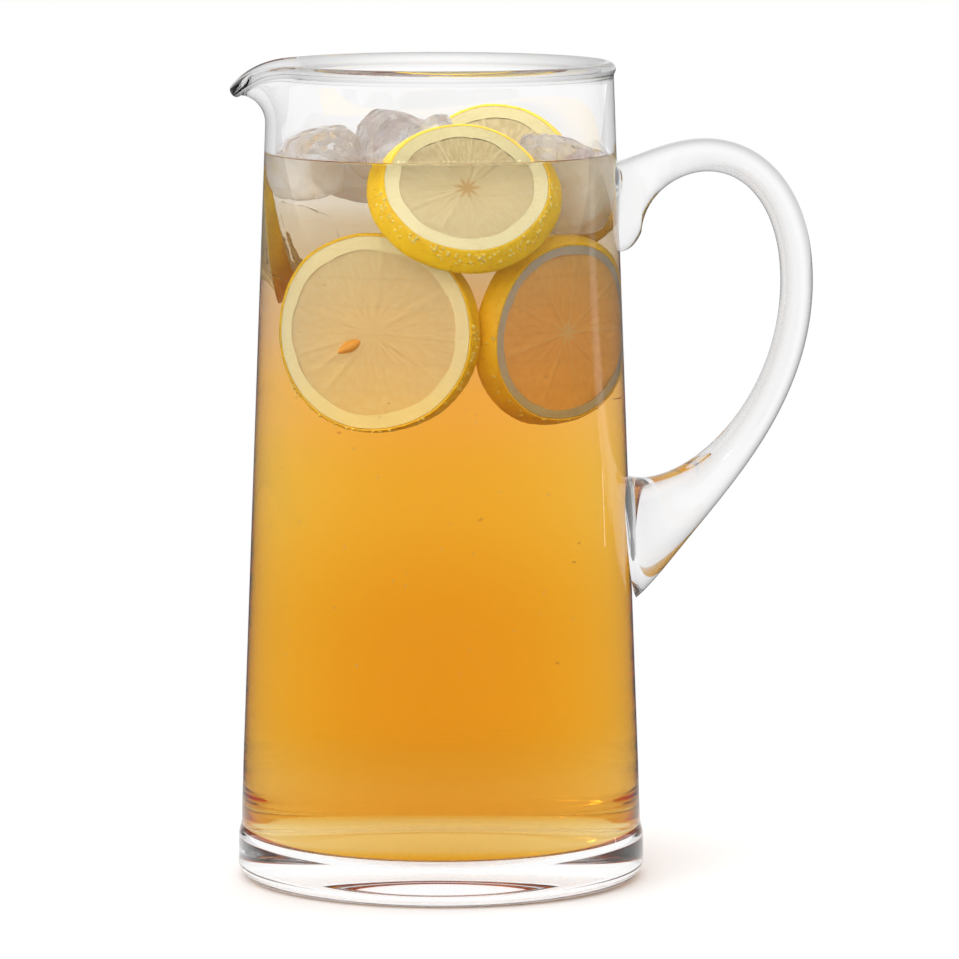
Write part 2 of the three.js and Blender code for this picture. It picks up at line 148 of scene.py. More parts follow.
class PitcherHandle(PropertyGroup):
    """Sizes of the applied handle."""

    root_drop: length("Root drop", "Rim down to the middle of the root", 42.9 * MM)
    grip_drop: length("Grip drop", "Rim down to the widest point of the loop", 67 * MM)
    foot_drop: length("Foot drop", "Rim down to the middle of the foot", 142.7 * MM)
    grip_reach: length("Grip reach", "Side of the body to the middle of the grip", 53.5 * MM)
    root_pull: length("Root pull", "How far the rod keeps the root's direction", 39.4 * MM)
    root_rise: angle("Root rise", "Direction in which the rod leaves the root", 44.7)
    foot_pull: length("Foot pull", "How far the rod keeps the foot's direction", 17 * MM)
    foot_rise: angle("Foot rise", "Direction in which the rod meets the foot", 11)
    bend_above: length("Bend above", "Roundness of the loop above the grip", 37.5 * MM)
    bend_below: length("Bend below", "Roundness of the loop below the grip", 42.6 * MM)
    root_thickness: length("Root thickness", "In the plane of the loop", 25.6 * MM)
    grip_thickness: length("Grip thickness", "In the plane of the loop", 9.9 * MM)
    foot_thickness: length("Foot thickness", "In the plane of the loop", 43.3 * MM)
    root_breadth: length("Root breadth", "Across the loop", 22 * MM)
    grip_breadth: length("Grip breadth", "Across the loop", 13 * MM)
    foot_breadth: length("Foot breadth", "Across the loop", 27 * MM)
    root_flare: number("Root flare", "How late the rod swells to its root", 11)
    foot_flare: number("Foot flare", "How late the rod swells to its foot", 3.8)
    tail_length: length("Tail length", "Tail of glass folded down under the root", 15 * MM)
    egg: number("Egg", "How much fuller the rod is on its outer side", 0.4)
    flat_root: number("Flat root", "How flat the faces of the root are", 4.0)
    flat_foot: number("Flat foot", "How flat the faces of the foot are", 3.0)
    # This colour is painted shade, greying the thick glass where it is seen along its surface
    painted_edge_shade: colour("Edge tint", "Thick glass seen along its surface", (0.02, 0.022, 0.026))
    sunk: length("Sunk", "How far the ends are fused into the side", 0.45 * MM)


class PitcherDrink(PropertyGroup):
    """Level and colours of the tea. A colour is what white light keeps after crossing the full pitcher."""

    level: length("Level", "Table to the line where the drink meets the glass", DRINK_HIGH.z)
    meniscus: length("Meniscus", "How far the drink climbs up the glass", 0.8 * MM)
    layers: IntProperty(name="Layers", description="Steps in the colour of the tea", default=26, min=2)
    top: colour("Top", "Melted ice water at the surface", (0.76, 0.65, 0.50))
    melt: colour("Melt", "Just under the ice", (0.60, 0.42, 0.22))
    fruit: colour("Fruit", "Where the lower slices float", (0.77, 0.38, 0.12))
    amber: colour("Amber", "Under the slices", (0.92, 0.40, 0.045))
    middle: colour("Middle", "Half way down", (0.89, 0.405, 0.021))
    deep: colour("Deep", "Strongest colour", (0.83, 0.32, 0.006))
    low: colour("Low", "Near the floor", (0.68, 0.31, 0.028))
    # The paler tea over the base paints light that comes up through the base
    bottom: colour("Bottom", "Over the heavy base", (0.82, 0.345, 0.02))


class PitcherLemon(PropertyGroup):
    """Sizes and colours of the lemon slices."""

    peel: length("Peel", "Thickness of the yellow skin", 0.8 * MM)
    pith: length("Pith", "Thickness of the white layer", 4.3 * MM)
    thin_pith: number("Thin pith", "Pith of a soaked slice, as a share of a fresh one's", 0.62)
    segments: IntProperty(name="Segments", description="Segments of the flesh", default=9, min=5)
    pores: length("Pores", "Depth of the pores in the skin", 0.16 * MM)
    skin: colour("Skin", "Bright side of the peel", (0.97, 0.61, 0.010))
    skin_dark: colour("Skin in the pores", "Deep yellow", (0.90, 0.48, 0.005))
    white: colour("Pith", "White layer under the surface", (0.92, 0.82, 0.48))
    white_dark: colour("Pith, dark", "Its wet patches", (0.86, 0.74, 0.38))
    # The pith over the surface is darker than under it as painted shade, offsetting the stronger light that
    # reaches the parts above the tea
    shaded_white_above: colour("Dry pith", "White layer over the surface", (0.54, 0.46, 0.22))
    shaded_white_dark_above: colour("Dry pith, dark", "Its deeper patches", (0.47, 0.38, 0.16))
    # The right slice's pith colours are painted shade, grey and dark for the slice that faces away from the
    # light
    shaded_white_right: colour("Soaked pith", "White layer of a soaked slice", (0.56, 0.50, 0.40))
    shaded_white_dark_right: colour("Soaked pith, dark", "Its darker patches", (0.48, 0.40, 0.29))
    pulp: colour("Pulp", "Flesh of the segments", (0.95, 0.84, 0.54))
    pulp_dark: colour("Pulp between the cells", "Deeper flesh", (0.92, 0.78, 0.45))
    # The pulp over the surface is darker than under it as painted shade, offsetting the stronger light that
    # reaches the parts above the tea
    shaded_pulp_above: colour("Dry pulp", "Flesh over the surface", (0.66, 0.54, 0.29))
    shaded_cells_above: colour("Dry pulp, dark", "Its deeper flesh", (0.53, 0.41, 0.19))
    # The right slice's pulp colours are partly tea stain and partly painted shade, more orange and darker
    stained_shaded_pulp_right: colour("Soaked pulp", "Flesh of a soaked slice", (1.0, 0.69, 0.28))
    stained_shaded_cells_right: colour("Soaked pulp, dark", "Its deeper flesh", (0.94, 0.62, 0.24))
    star: colour("Star", "Browned heart of a slice", (0.72, 0.42, 0.12))
    membrane: number("Membrane", "How pale the skin between the segments is", 0.3)
    seed: colour("Seed", "Pip near the middle", (0.80, 0.38, 0.06))
    seed_length: length("Seed length", "From the round end of the pip to its point", 8 * MM)
    seed_width: length("Seed width", "Across the pip", 4.6 * MM)


class PitcherIce(PropertyGroup):
    """Look of the ice and of the bubbles."""

    clear: colour("Clear ice", "Colour of clear ice", (0.98, 0.98, 0.985))
    milky: colour("Milky ice", "Colour of the cloudy heart", (0.93, 0.925, 0.93))
    soaked: colour("Soaked ice", "Cloudy ice that has taken up some tea", (0.97, 0.90, 0.80))
    glassy: colour("Glassy ice", "Clear ice deep in the drink", (1.0, 0.995, 0.985))
    melt: length("Melt", "Depth of the dents that melting leaves", 0.7 * MM)
    bubbles: IntProperty(name="Bubbles", description="Loose bubbles in the drink", default=150, min=0)


class PitcherStage(PropertyGroup):
    """Camera, light and floor."""

    distance: length("Distance", "Camera to the aim point", 2.1)
    elevation: angle("Elevation", "Camera above the horizon", 6.8)
    aim_side: length("Aim to the side", "Aim point from the axis towards the handle", 11.9 * MM)
    aim_height: length("Aim height", "Aim point over the table", 122.1 * MM)
    field: length("Field", "Width of the picture at the aim point", 293.4 * MM)
    key_light: number("Key light", "Soft light from the front left", 3.15)
    back_light: number("Back light", "Soft light from the back right", 1.8)
    side_light: number("Side light", "Light from all round", 0.75)
    top_light: number("Top light", "Light from above", 0.7)
    floor_glow: number("Floor glow", "Light that the far floor sends up", 0.75)
    dim: number("Dim", "How bright the floor is in the gloss of the glass", 0.15)


# Small helpers for shader trees


def add_node(tree, kind, sockets=None, **settings):
    """A shader node with its settings, and its sockets set to numbers or linked to other sockets."""
    node = tree.nodes.new(kind)
    for key, value in settings.items():
        setattr(node, key, value)
    for socket, value in (sockets or {}).items():
        set_socket(tree, node, socket, value)
    return node


def set_socket(tree, node, socket, value):
    if isinstance(value, bpy.types.NodeSocket):
        tree.links.new(value, node.inputs[socket])
    else:
        node.inputs[socket].default_value = value


def maths(tree, operation, first, second=0.0, third=0.0):
    node = add_node(tree, "ShaderNodeMath", {0: first, 1: second, 2: third}, operation=operation)
    return node.outputs[0]


def mixed(tree, factor, first, second):
    """The first colour where the factor is 0 and the second where it is 1."""
    # The node has sockets for several kinds of data, and these are the ones for colours
    sockets = {0: factor, 6: opaque(first), 7: opaque(second)}
    return add_node(tree, "ShaderNodeMix", sockets, data_type="RGBA").outputs[2]


def opaque(value):
    return value if isinstance(value, bpy.types.NodeSocket) else (*value[:3], 1.0)


def ranged(tree, value, low, high, to_low=0.0, to_high=1.0):
    """The value eased from one range to another."""
    sockets = {0: value, 1: low, 2: high, 3: to_low, 4: to_high}
    return add_node(tree, "ShaderNodeMapRange", sockets, interpolation_type="SMOOTHSTEP").outputs[0]


def noise_value(tree, vector, scale, detail):
    """Soft noise: a larger scale makes smaller patches, and more detail a finer break-up."""
    sockets = {"Vector": vector, "Scale": scale, "Detail": detail, "Roughness": 0.55}
    return add_node(tree, "ShaderNodeTexNoise", sockets).outputs[0]


def cell_distance(tree, vector, scale):
    """Distance to the nearest of many scattered points."""
    return add_node(tree, "ShaderNodeTexVoronoi", {"Vector": vector, "Scale": scale}).outputs["Distance"]


def object_coordinates(tree):
    return add_node(tree, "ShaderNodeTexCoord").outputs["Object"]


def bumped(tree, height, strength, distance):
    sockets = {"Strength": strength, "Distance": distance, "Height": height}
    return add_node(tree, "ShaderNodeBump", sockets).outputs[0]


def new_finish(name, **sockets):
    """A material with one Principled shader, its plain values on the shader's own sockets."""
    material = bpy.data.materials.new(name)
    material.use_nodes = True
    tree = material.node_tree
    shader = tree.nodes["Principled BSDF"]
    for key, value in sockets.items():
        socket = key.replace("_", " ").title().replace("Ior", "IOR")
        shader.inputs[socket].default_value = value
    return material, tree, shader


# Materials


def glass_finish(name, painted_shade, falloff, inner, wavy):
    """Clear glass with faint waves, whose colour takes painted shade that darkens it where it is seen along
    its surface.

    The inner share says how much of that shows where the light meets the surface from inside.
    """
    material, tree, shader = new_finish(name, transmission_weight=1.0, roughness=0.0, ior=GLASS_INDEX)
    facing = add_node(tree, "ShaderNodeLayerWeight", {"Blend": 0.5}).outputs["Facing"]
    inside = add_node(tree, "ShaderNodeNewGeometry").outputs["Backfacing"]
    outer = maths(tree, "MULTIPLY_ADD", inside, inner - 1.0, 1.0)
    # Painted shade: the grey is mixed in as the surface is seen more along its edge, scaled by the inner
    # share where the ray meets it from inside
    edge = maths(tree, "MULTIPLY", maths(tree, "POWER", facing, falloff), outer)
    set_socket(tree, shader, "Base Color", mixed(tree, edge, WHITE, painted_shade))
    waves = noise_value(tree, object_coordinates(tree), scale=22.0, detail=1.0)
    set_socket(tree, shader, "Normal", bumped(tree, waves, strength=wavy, distance=2 * MM))
    return material


def wet_glass_finish():
    """Inside of the glass below the drink's level, where light bends only a little."""
    material, tree, shader = new_finish(
        "wet_glass", transmission_weight=1.0, roughness=0.0, ior=WET_INDEX
    )
    waves = noise_value(tree, object_coordinates(tree), scale=18.0, detail=1.0)
    set_socket(tree, shader, "Base Color", mixed(tree, waves, WHITE, (0.985, 0.985, 0.985)))
    return material


def tea_finish(name, kept, path):
    """Tea that keeps the given share of white light over a path; its sides touch the wet glass."""
    material, tree, shader = new_finish(name, transmission_weight=1.0, roughness=0.0, ior=1.0)
    haze = noise_value(tree, object_coordinates(tree), scale=30.0, detail=2.0)
    set_socket(tree, shader, "Base Color", mixed(tree, haze, WHITE, (0.995, 0.995, 0.99)))
    least_kept = 1e-4
    loss = [-math.log(max(share, least_kept)) / path for share in kept]
    # A little above the greatest loss, so that no part of the colour is quite zero
    margin = 1.02
    density = max(loss) * margin
    absorption = add_node(tree, "ShaderNodeVolumeAbsorption")
    absorption.inputs["Color"].default_value = (*[1 - value / density for value in loss], 1.0)
    absorption.inputs["Density"].default_value = density
    output = tree.nodes["Material Output"]
    tree.links.new(absorption.outputs[0], output.inputs["Volume"])
    return material


def tea_surface_finish():
    """The open surface of the tea, where light bends, with small ripples."""
    material, tree, shader = new_finish(
        "tea_surface", transmission_weight=1.0, roughness=0.0, ior=WATER_INDEX
    )
    place = object_coordinates(tree)
    haze = noise_value(tree, place, scale=30.0, detail=2.0)
    set_socket(tree, shader, "Base Color", mixed(tree, haze, WHITE, (0.97, 0.965, 0.955)))
    ripples = noise_value(tree, place, scale=60.0, detail=2.0)
    set_socket(tree, shader, "Normal", bumped(tree, ripples, strength=0.25, distance=1 * MM))
    return material


def skin_finish():
    lemon = bpy.context.scene.pitcher_lemon
    material, tree, shader = new_finish("lemon_skin", roughness=0.38, ior=1.45)
    place = object_coordinates(tree)
    pores = ranged(tree, cell_distance(tree, place, scale=700.0), 0.05, 0.35)
    patches = noise_value(tree, place, scale=120.0, detail=4.0)
    tone = maths(tree, "MULTIPLY", pores, ranged(tree, patches, 0.25, 0.6, 0.45, 1.0))
    set_socket(tree, shader, "Base Color", mixed(tree, tone, lemon.skin_dark, lemon.skin))
    set_socket(tree, shader, "Normal", bumped(tree, pores, strength=0.5, distance=0.4 * MM))
    return material


def pith_finish(name, light, dark):
    material, tree, shader = new_finish(name, roughness=0.6, ior=1.4)
    place = object_coordinates(tree)
    spongy = noise_value(tree, place, scale=900.0, detail=4.0)
    wet = noise_value(tree, place, scale=160.0, detail=3.0)
    tone = maths(tree, "MULTIPLY", ranged(tree, spongy, 0.4, 0.75), ranged(tree, wet, 0.35, 0.65))
    set_socket(tree, shader, "Base Color", mixed(tree, tone, light, dark))
    set_socket(tree, shader, "Normal", bumped(tree, spongy, strength=0.35, distance=0.3 * MM))
    return material


def segment_phase(turn, wobble):
    """Where a direction lies among the segments, as a number that grows by one from each to the next."""
    lemon = bpy.context.scene.pitcher_lemon
    swing = TWO_WAVES * math.sin(2 * turn + wobble)
    swing += THREE_WAVES * math.sin(3 * turn + THREE_WAVES_TURN * wobble)
    return (turn + swing) * lemon.segments / math.tau


def flesh_finish(name, wobble, clear, light, dark, centre):
    """Pulp that lets some light through, with radial cells, pale membranes and a heart."""
    lemon = bpy.context.scene.pitcher_lemon
    material, tree, shader = new_finish(name, roughness=0.3, ior=1.08, transmission_weight=clear)
    place = object_coordinates(tree)
    axes = add_node(tree, "ShaderNodeSeparateXYZ", {0: place}).outputs
    turn = maths(tree, "ARCTAN2", axes[1], axes[0])
    square = maths(tree, "MULTIPLY", axes[0], axes[0])
    out = maths(tree, "SQRT", maths(tree, "MULTIPLY_ADD", axes[1], axes[1], square))
    first = maths(tree, "SINE", maths(tree, "MULTIPLY_ADD", turn, 2.0, wobble))
    second = maths(tree, "SINE", maths(tree, "MULTIPLY_ADD", turn, 3.0, THREE_WAVES_TURN * wobble))
    swung = maths(tree, "MULTIPLY_ADD", first, TWO_WAVES, turn)
    swung = maths(tree, "MULTIPLY_ADD", second, THREE_WAVES, swung)
    phase = maths(tree, "MULTIPLY", swung, lemon.segments / math.tau)
    inside = maths(tree, "PINGPONG", phase, 0.5)
    aside = maths(tree, "MULTIPLY", maths(tree, "MULTIPLY", inside, math.tau / lemon.segments), out)
    skin = ranged(tree, aside, 0.05 * MM, 0.4 * MM, 1.0, 0.0)
    heart_reach, heart_notch, heart_share = 5.5 * MM, 7 * MM, 0.7
    reach = maths(tree, "MULTIPLY_ADD", inside, -heart_notch, heart_reach)
    heart = ranged(tree, maths(tree, "DIVIDE", out, reach), 0.35, 1.0, heart_share, 0.0)
    cells_round, cells_along = 9.0, 220.0
    radial = add_node(tree, "ShaderNodeCombineXYZ")
    set_socket(tree, radial, 0, maths(tree, "MULTIPLY", swung, cells_round))
    set_socket(tree, radial, 1, maths(tree, "MULTIPLY", out, cells_along))
    set_socket(tree, radial, 2, maths(tree, "MULTIPLY", axes[2], cells_along))
    cells = noise_value(tree, radial.outputs[0], scale=1.6, detail=3.0)
    pulp = mixed(tree, ranged(tree, cells, 0.35, 0.7), dark, light)
    veined = mixed(tree, maths(tree, "MULTIPLY", skin, lemon.membrane), pulp, lemon.white)
    set_socket(tree, shader, "Base Color", mixed(tree, heart, veined, centre))
    set_socket(tree, shader, "Normal", bumped(tree, cells, strength=0.25, distance=0.6 * MM))
    return material


def seed_finish():
    lemon = bpy.context.scene.pitcher_lemon
    material, tree, shader = new_finish("lemon_seed", roughness=0.35, ior=1.45)
    grain = noise_value(tree, object_coordinates(tree), scale=500.0, detail=3.0)
    paler = 1.35
    pale = [min(1.0, value * paler) for value in lemon.seed]
    set_socket(tree, shader, "Base Color", mixed(tree, grain, lemon.seed, pale))
    set_socket(tree, shader, "Normal", bumped(tree, grain, strength=0.3, distance=0.2 * MM))
    return material


def ice_finish(name, cloud, ior, clear, crackle):
    """Ice with a cloudy heart and cracks; clear says how much light it lets through."""
    ice = bpy.context.scene.pitcher_ice
    material, tree, shader = new_finish(name, roughness=0.03, ior=ior, transmission_weight=clear)
    place = object_coordinates(tree)
    clouds = noise_value(tree, place, scale=90.0, detail=4.0)
    set_socket(tree, shader, "Base Color", mixed(tree, ranged(tree, clouds, 0.4, 0.65), ice.clear, cloud))
    dents = noise_value(tree, place, scale=260.0, detail=4.0)
    crack_share = 1.6
    relief = maths(tree, "MULTIPLY_ADD", cell_distance(tree, place, scale=190.0), crack_share, dents)
    set_socket(tree, shader, "Normal", bumped(tree, relief, strength=crackle, distance=1.6 * MM))
    return material


def bubble_finish(name, light, dark, ior, clear):
    material, tree, shader = new_finish(name, transmission_weight=clear, roughness=0.05, ior=ior)
    film = noise_value(tree, object_coordinates(tree), scale=800.0, detail=1.0)
    set_socket(tree, shader, "Base Color", mixed(tree, film, light, dark))
    return material


def straight_look(tree, path):
    """Whether a ray looks straight or through glass, and whether it has met no dull surface."""
    straight = maths(tree, "MAXIMUM", path["Is Camera Ray"], path["Is Transmission Ray"])
    fresh = maths(tree, "LESS_THAN", path["Diffuse Depth"], 0.5)
    return straight, fresh


def floor_finish():
    """A pale floor that keeps the shadow near the glass and is plain white further out."""
    stage = bpy.context.scene.pitcher_stage
    material, tree, shader = new_finish("floor", roughness=0.9)
    place = object_coordinates(tree)
    grain = noise_value(tree, place, scale=40.0, detail=2.0)
    set_socket(tree, shader, "Base Color", mixed(tree, grain, (0.60, 0.60, 0.60), (0.62, 0.62, 0.62)))
    away = add_node(tree, "ShaderNodeVectorMath", {0: place}, operation="LENGTH").outputs["Value"]
    path = add_node(tree, "ShaderNodeLightPath").outputs
    straight, fresh = straight_look(tree, path)
    gloss = maths(tree, "MULTIPLY_ADD", path["Is Glossy Ray"], stage.dim - stage.floor_glow, stage.floor_glow)
    glow = maths(tree, "MAXIMUM", maths(tree, "MULTIPLY", straight, fresh), gloss)
    white = add_node(tree, "ShaderNodeEmission", {"Color": opaque(WHITE), "Strength": glow})
    shaded_to, plain_from = 80 * MM, 260 * MM
    blend = add_node(tree, "ShaderNodeMixShader", {0: ranged(tree, away, shaded_to, plain_from)})
    tree.links.new(shader.outputs[0], blend.inputs[1])
    tree.links.new(white.outputs[0], blend.inputs[2])
    tree.links.new(blend.outputs[0], tree.nodes["Material Output"].inputs["Surface"])
    return material


# Small helpers for meshes


def lerp(first, second, share):
    return first + (second - first) * share


def eased(share):
    share = min(1.0, max(0.0, share))
    return share * share * (3 - 2 * share)


def polar(radius, turn, height):
    """A point at a distance from the axis, in a direction and at a height."""
    return Vector((radius * math.cos(turn), radius * math.sin(turn), height))


def arc(centre, radius, start, stop, steps):
    """Points on a circle in the plane of radius and height, both ends included."""
    points = []
    for step in range(steps + 1):
        turn = lerp(start, stop, step / steps)
        points.append((centre[0] + radius * math.cos(turn), centre[1] + radius * math.sin(turn)))
    return points


def finished(name, mesh, materials, nodes=(), matrix=None):
    """A piece of the object: it rides on the one body, takes a finish and stands for CAD nodes."""
    piece = bpy.data.objects.new(name, mesh)
    bpy.context.scene.collection.objects.link(piece)
    if matrix is not None:
        piece.matrix_world = matrix
    for material in materials:
        mesh.materials.append(material)
    mesh.polygons.foreach_set("use_smooth", [True] * len(mesh.polygons))
    mesh.set_sharp_from_angle(angle=SHARP_ANGLE)
    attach(piece, "root")
    if nodes:
        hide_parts(*nodes)
    return piece


def part_at_surface(piece):
    """Gives a piece its first finish under the drink's surface and its second finish over it."""
    drink = bpy.context.scene.pitcher_drink
    still = drink.level - drink.meniscus
    for face in piece.data.polygons:
        face.material_index = 0 if (piece.matrix_world @ face.center).z < still else 1


def mesh_from(bm, name):
    bmesh.ops.recalc_face_normals(bm, faces=bm.faces)
    mesh = bpy.data.meshes.new(name)
    bm.to_mesh(mesh)
    bm.free()
    return mesh


def lathe_into(bm, profile, steps, slots):
    """Turns a profile of radius and height round the axis, with a finish for each of its stretches."""
    rows = []
    for radius, height in profile:
        if radius < TINY:
            rows.append([bm.verts.new((0, 0, height))])
            continue
        row = []
        for step in range(steps):
            turn = math.tau * step / steps
            row.append(bm.verts.new(polar(radius, turn, height)))
        rows.append(row)
    for index in range(len(rows) - 1):
        here, there = rows[index], rows[index + 1]
        for step in range(steps):
            after = (step + 1) % steps
            around = ((here, step), (here, after), (there, after), (there, step))
            corners = dict.fromkeys(row[place % len(row)] for row, place in around)
            bm.faces.new(list(corners)).material_index = slots[index]


def tube_into(bm, rings):
    """Joins closed rings of equal count and caps both ends."""
    rows = [[bm.verts.new(point) for point in ring] for ring in rings]
    count = len(rows[0])
    for here, there in zip(rows, rows[1:]):
        for step in range(count):
            after = (step + 1) % count
            bm.faces.new((here[step], here[after], there[after], there[step]))
    for row in (rows[0], rows[-1]):
        middle = bm.verts.new(sum((vertex.co for vertex in row), Vector()) / count)
        for step in range(count):
            bm.faces.new((row[step], row[(step + 1) % count], middle))


# Glass


def outer_radius(height):
    """Outside of the plain conical side at a height."""
    glass = bpy.context.scene.pitcher_glass
    share = (height - glass.base_band) / (glass.rim_height - glass.bead_diameter - glass.base_band)
    return lerp(glass.base_diameter / 2 - glass.base_shoulder, glass.neck_diameter / 2, share)


def inner_radius(height):
    return outer_radius(height) - bpy.context.scene.pitcher_glass.wall


def domed(reach, height, rise, steps):
    """Points on a low dome from the axis out to a reach, without the last."""
    points = []
    for step in range(steps):
        share = step / steps
        points.append((reach * share, height + rise * (1 - share * share) ** 1.5))
    return points


def climbing(radius_at, start, stop, steps):
    """Points on the side from one height to another, without the first."""
    heights = [lerp(start, stop, step / steps) for step in range(1, steps + 1)]
    return [(radius_at(height), height) for height in heights]


def inside_line(top, gap):
    """Inside of the glass from the middle of the floor to a height, moved inwards by a gap."""
    glass = bpy.context.scene.pitcher_glass
    floor = glass.base_thickness + gap
    corner = glass.floor_corner
    flat = inner_radius(floor + corner) - gap - corner
    points = domed(flat, floor, glass.dome, FLOOR_STEPS)
    points += arc((flat, floor + corner), corner, -math.pi / 2, 0, CORNER_STEPS)
    points += climbing(lambda height: inner_radius(height) - gap, floor + corner, top, INSIDE_STEPS)
    return points


def body_profile(wet_top):
    """Profile of the body and the finish of each of its stretches: 0 dry, 1 wet, 2 rim."""
    glass = bpy.context.scene.pitcher_glass
    base = glass.base_diameter / 2
    corner = base - glass.base_corner
    punt_share = 0.93
    points = domed(corner * punt_share, 0.0, glass.punt, PUNT_STEPS)
    points += arc((corner, glass.base_corner), glass.base_corner, -math.pi / 2, 0, CORNER_STEPS)
    points.append((base, (glass.base_corner + glass.base_band) / 2))
    for step in range(BLEND_STEPS + 1):
        share = step / BLEND_STEPS
        height = glass.base_band + glass.base_blend * share
        points.append((lerp(base, outer_radius(height), eased(share)), height))
    start = glass.rim_height - glass.spout_bend
    bead_gap = 0.4 * MM
    lip = glass.rim_height - glass.bead_diameter - bead_gap
    points += climbing(outer_radius, glass.base_band + glass.base_blend, start, OUTSIDE_STEPS)
    points += climbing(outer_radius, start, lip, LIP_STEPS)
    wrap = math.radians(40)
    bead_middle = (glass.neck_diameter / 2 - glass.wall / 2, glass.rim_height - glass.bead_diameter / 2)
    bead_start = len(points)
    points += arc(bead_middle, glass.bead_diameter / 2, -wrap, math.pi + wrap, BEAD_STEPS)
    bead_stop = len(points)
    points.append((inner_radius(lip), lip))
    points += climbing(inner_radius, lip, start, LIP_STEPS)
    dry_count = len(points)
    points += inside_line(wet_top, 0.0)[::-1]
    slots = [0 if index < dry_count else 1 for index in range(len(points) - 1)]
    slots[bead_start:bead_stop] = [2] * (bead_stop - bead_start)
    return points, slots


def pull_spout(bm):
    """Bends the side outwards and down under the spout, most at its middle."""
    glass = bpy.context.scene.pitcher_glass
    start = glass.rim_height - glass.spout_bend
    for vertex in bm.verts:
        along = vertex.co.z - start
        off = abs(math.atan2(vertex.co.y, -vertex.co.x))
        out = math.hypot(vertex.co.x, vertex.co.y)
        if along <= 0 or off >= glass.spout_half or out < TINY:
            continue
        share = math.cos(math.pi / 2 * off / glass.spout_half) ** 2
        curl = max(TINY, glass.spout_angle * share / glass.spout_bend)
        turn = curl * along
        middle = outer_radius(vertex.co.z) - glass.wall / 2
        across = out - middle
        radius = middle + (1 - math.cos(turn)) / curl + across * math.cos(turn)
        vertex.co.x *= radius / out
        vertex.co.y *= radius / out
        vertex.co.z = start + math.sin(turn) / curl - across * math.sin(turn)


class PITCHER_OT_glass_body(Operator):
    """Turns the blown body and pulls its spout"""

    bl_idname = "pitcher.glass_body"
    bl_label = "Glass body"

    def execute(self, context):
        drink = context.scene.pitcher_drink
        bm = bmesh.new()
        profile, slots = body_profile(drink.level)
        lathe_into(bm, profile, BODY_STEPS, slots)
        pull_spout(bm)
        mesh = mesh_from(bm, "pitcher_body")
        glass = context.scene.pitcher_glass
        clear = glass_finish("clear_glass", glass.painted_edge_shade, falloff=3.0, inner=0.0, wavy=0.06)
        rim = glass_finish("rim_glass", glass.painted_rim_shade, falloff=0.9, inner=1.0, wavy=0.03)
        finished("pitcher_body", mesh, [clear, wet_glass_finish(), rim], ["glass_body"])
        return {"FINISHED"}


# What the rod of the handle is asked for
OUTER, INNER, BREADTH = 0, 1, 2


def bezier(points, share):
    """A point on the curve that the given points pull, and its direction."""
    while len(points) > 2:
        points = [lerp(first, second, share) for first, second in zip(points, points[1:])]
    start, stop = points
    return lerp(start, stop, share), (stop - start).normalized()


def rod_at(share):
    """Outer edge, inner edge and breadth of the rod at a share: 0 is its root, 1 its grip, 2 its foot."""
    glass = bpy.context.scene.pitcher_glass
    handle = bpy.context.scene.pitcher_handle
    rim = glass.rim_height
    buried = 2 * MM

    def on_side(drop, out):
        return Vector((outer_radius(rim - drop) + out, rim - drop))

    root = on_side(handle.root_drop, -buried)
    grip = on_side(handle.grip_drop, handle.grip_reach)
    foot = on_side(handle.foot_drop, -buried)
    if share <= 1:
        leaving = root + handle.root_pull * Vector((math.cos(handle.root_rise), math.sin(handle.root_rise)))
        curve = (root, leaving, grip + Vector((0, handle.bend_above)), grip)
        swell = (1 - share) ** handle.root_flare
        wide, broad = handle.root_thickness, handle.root_breadth
        place, pace = bezier(curve, share)
    else:
        arriving = foot + handle.foot_pull * Vector((math.cos(handle.foot_rise), math.sin(handle.foot_rise)))
        curve = (grip, grip - Vector((0, handle.bend_below)), arriving, foot)
        swell = (share - 1) ** handle.foot_flare
        wide, broad = handle.foot_thickness, handle.foot_breadth
        place, pace = bezier(curve, share - 1)
    half = lerp(handle.grip_thickness, wide, swell) / 2
    breadth = lerp(handle.grip_breadth, broad, swell)
    across = Vector((-pace.y, pace.x))
    return place + across * half, place - across * half, breadth


def leaves_wall(edge, start, stop):
    """The share between start and stop at which an edge of the rod comes out of the side of the body."""
    sunk = bpy.context.scene.pitcher_handle.sunk
    halvings = 60
    for _ in range(halvings):
        middle = (start + stop) / 2
        point = rod_at(middle)[edge]
        if point.x < outer_radius(point.y) - sunk:
            start = middle
        else:
            stop = middle
    return stop


def fading(distance, reach):
    """1 at an end of the rod, falling to 0 where the distance from it comes to the reach."""
    return max(0.0, 1 - distance / reach)


def squared(value, power):
    """A sine or cosine pushed outwards, so that an oval gets flatter faces as the power grows."""
    return math.copysign(abs(value) ** (2 / power), value)


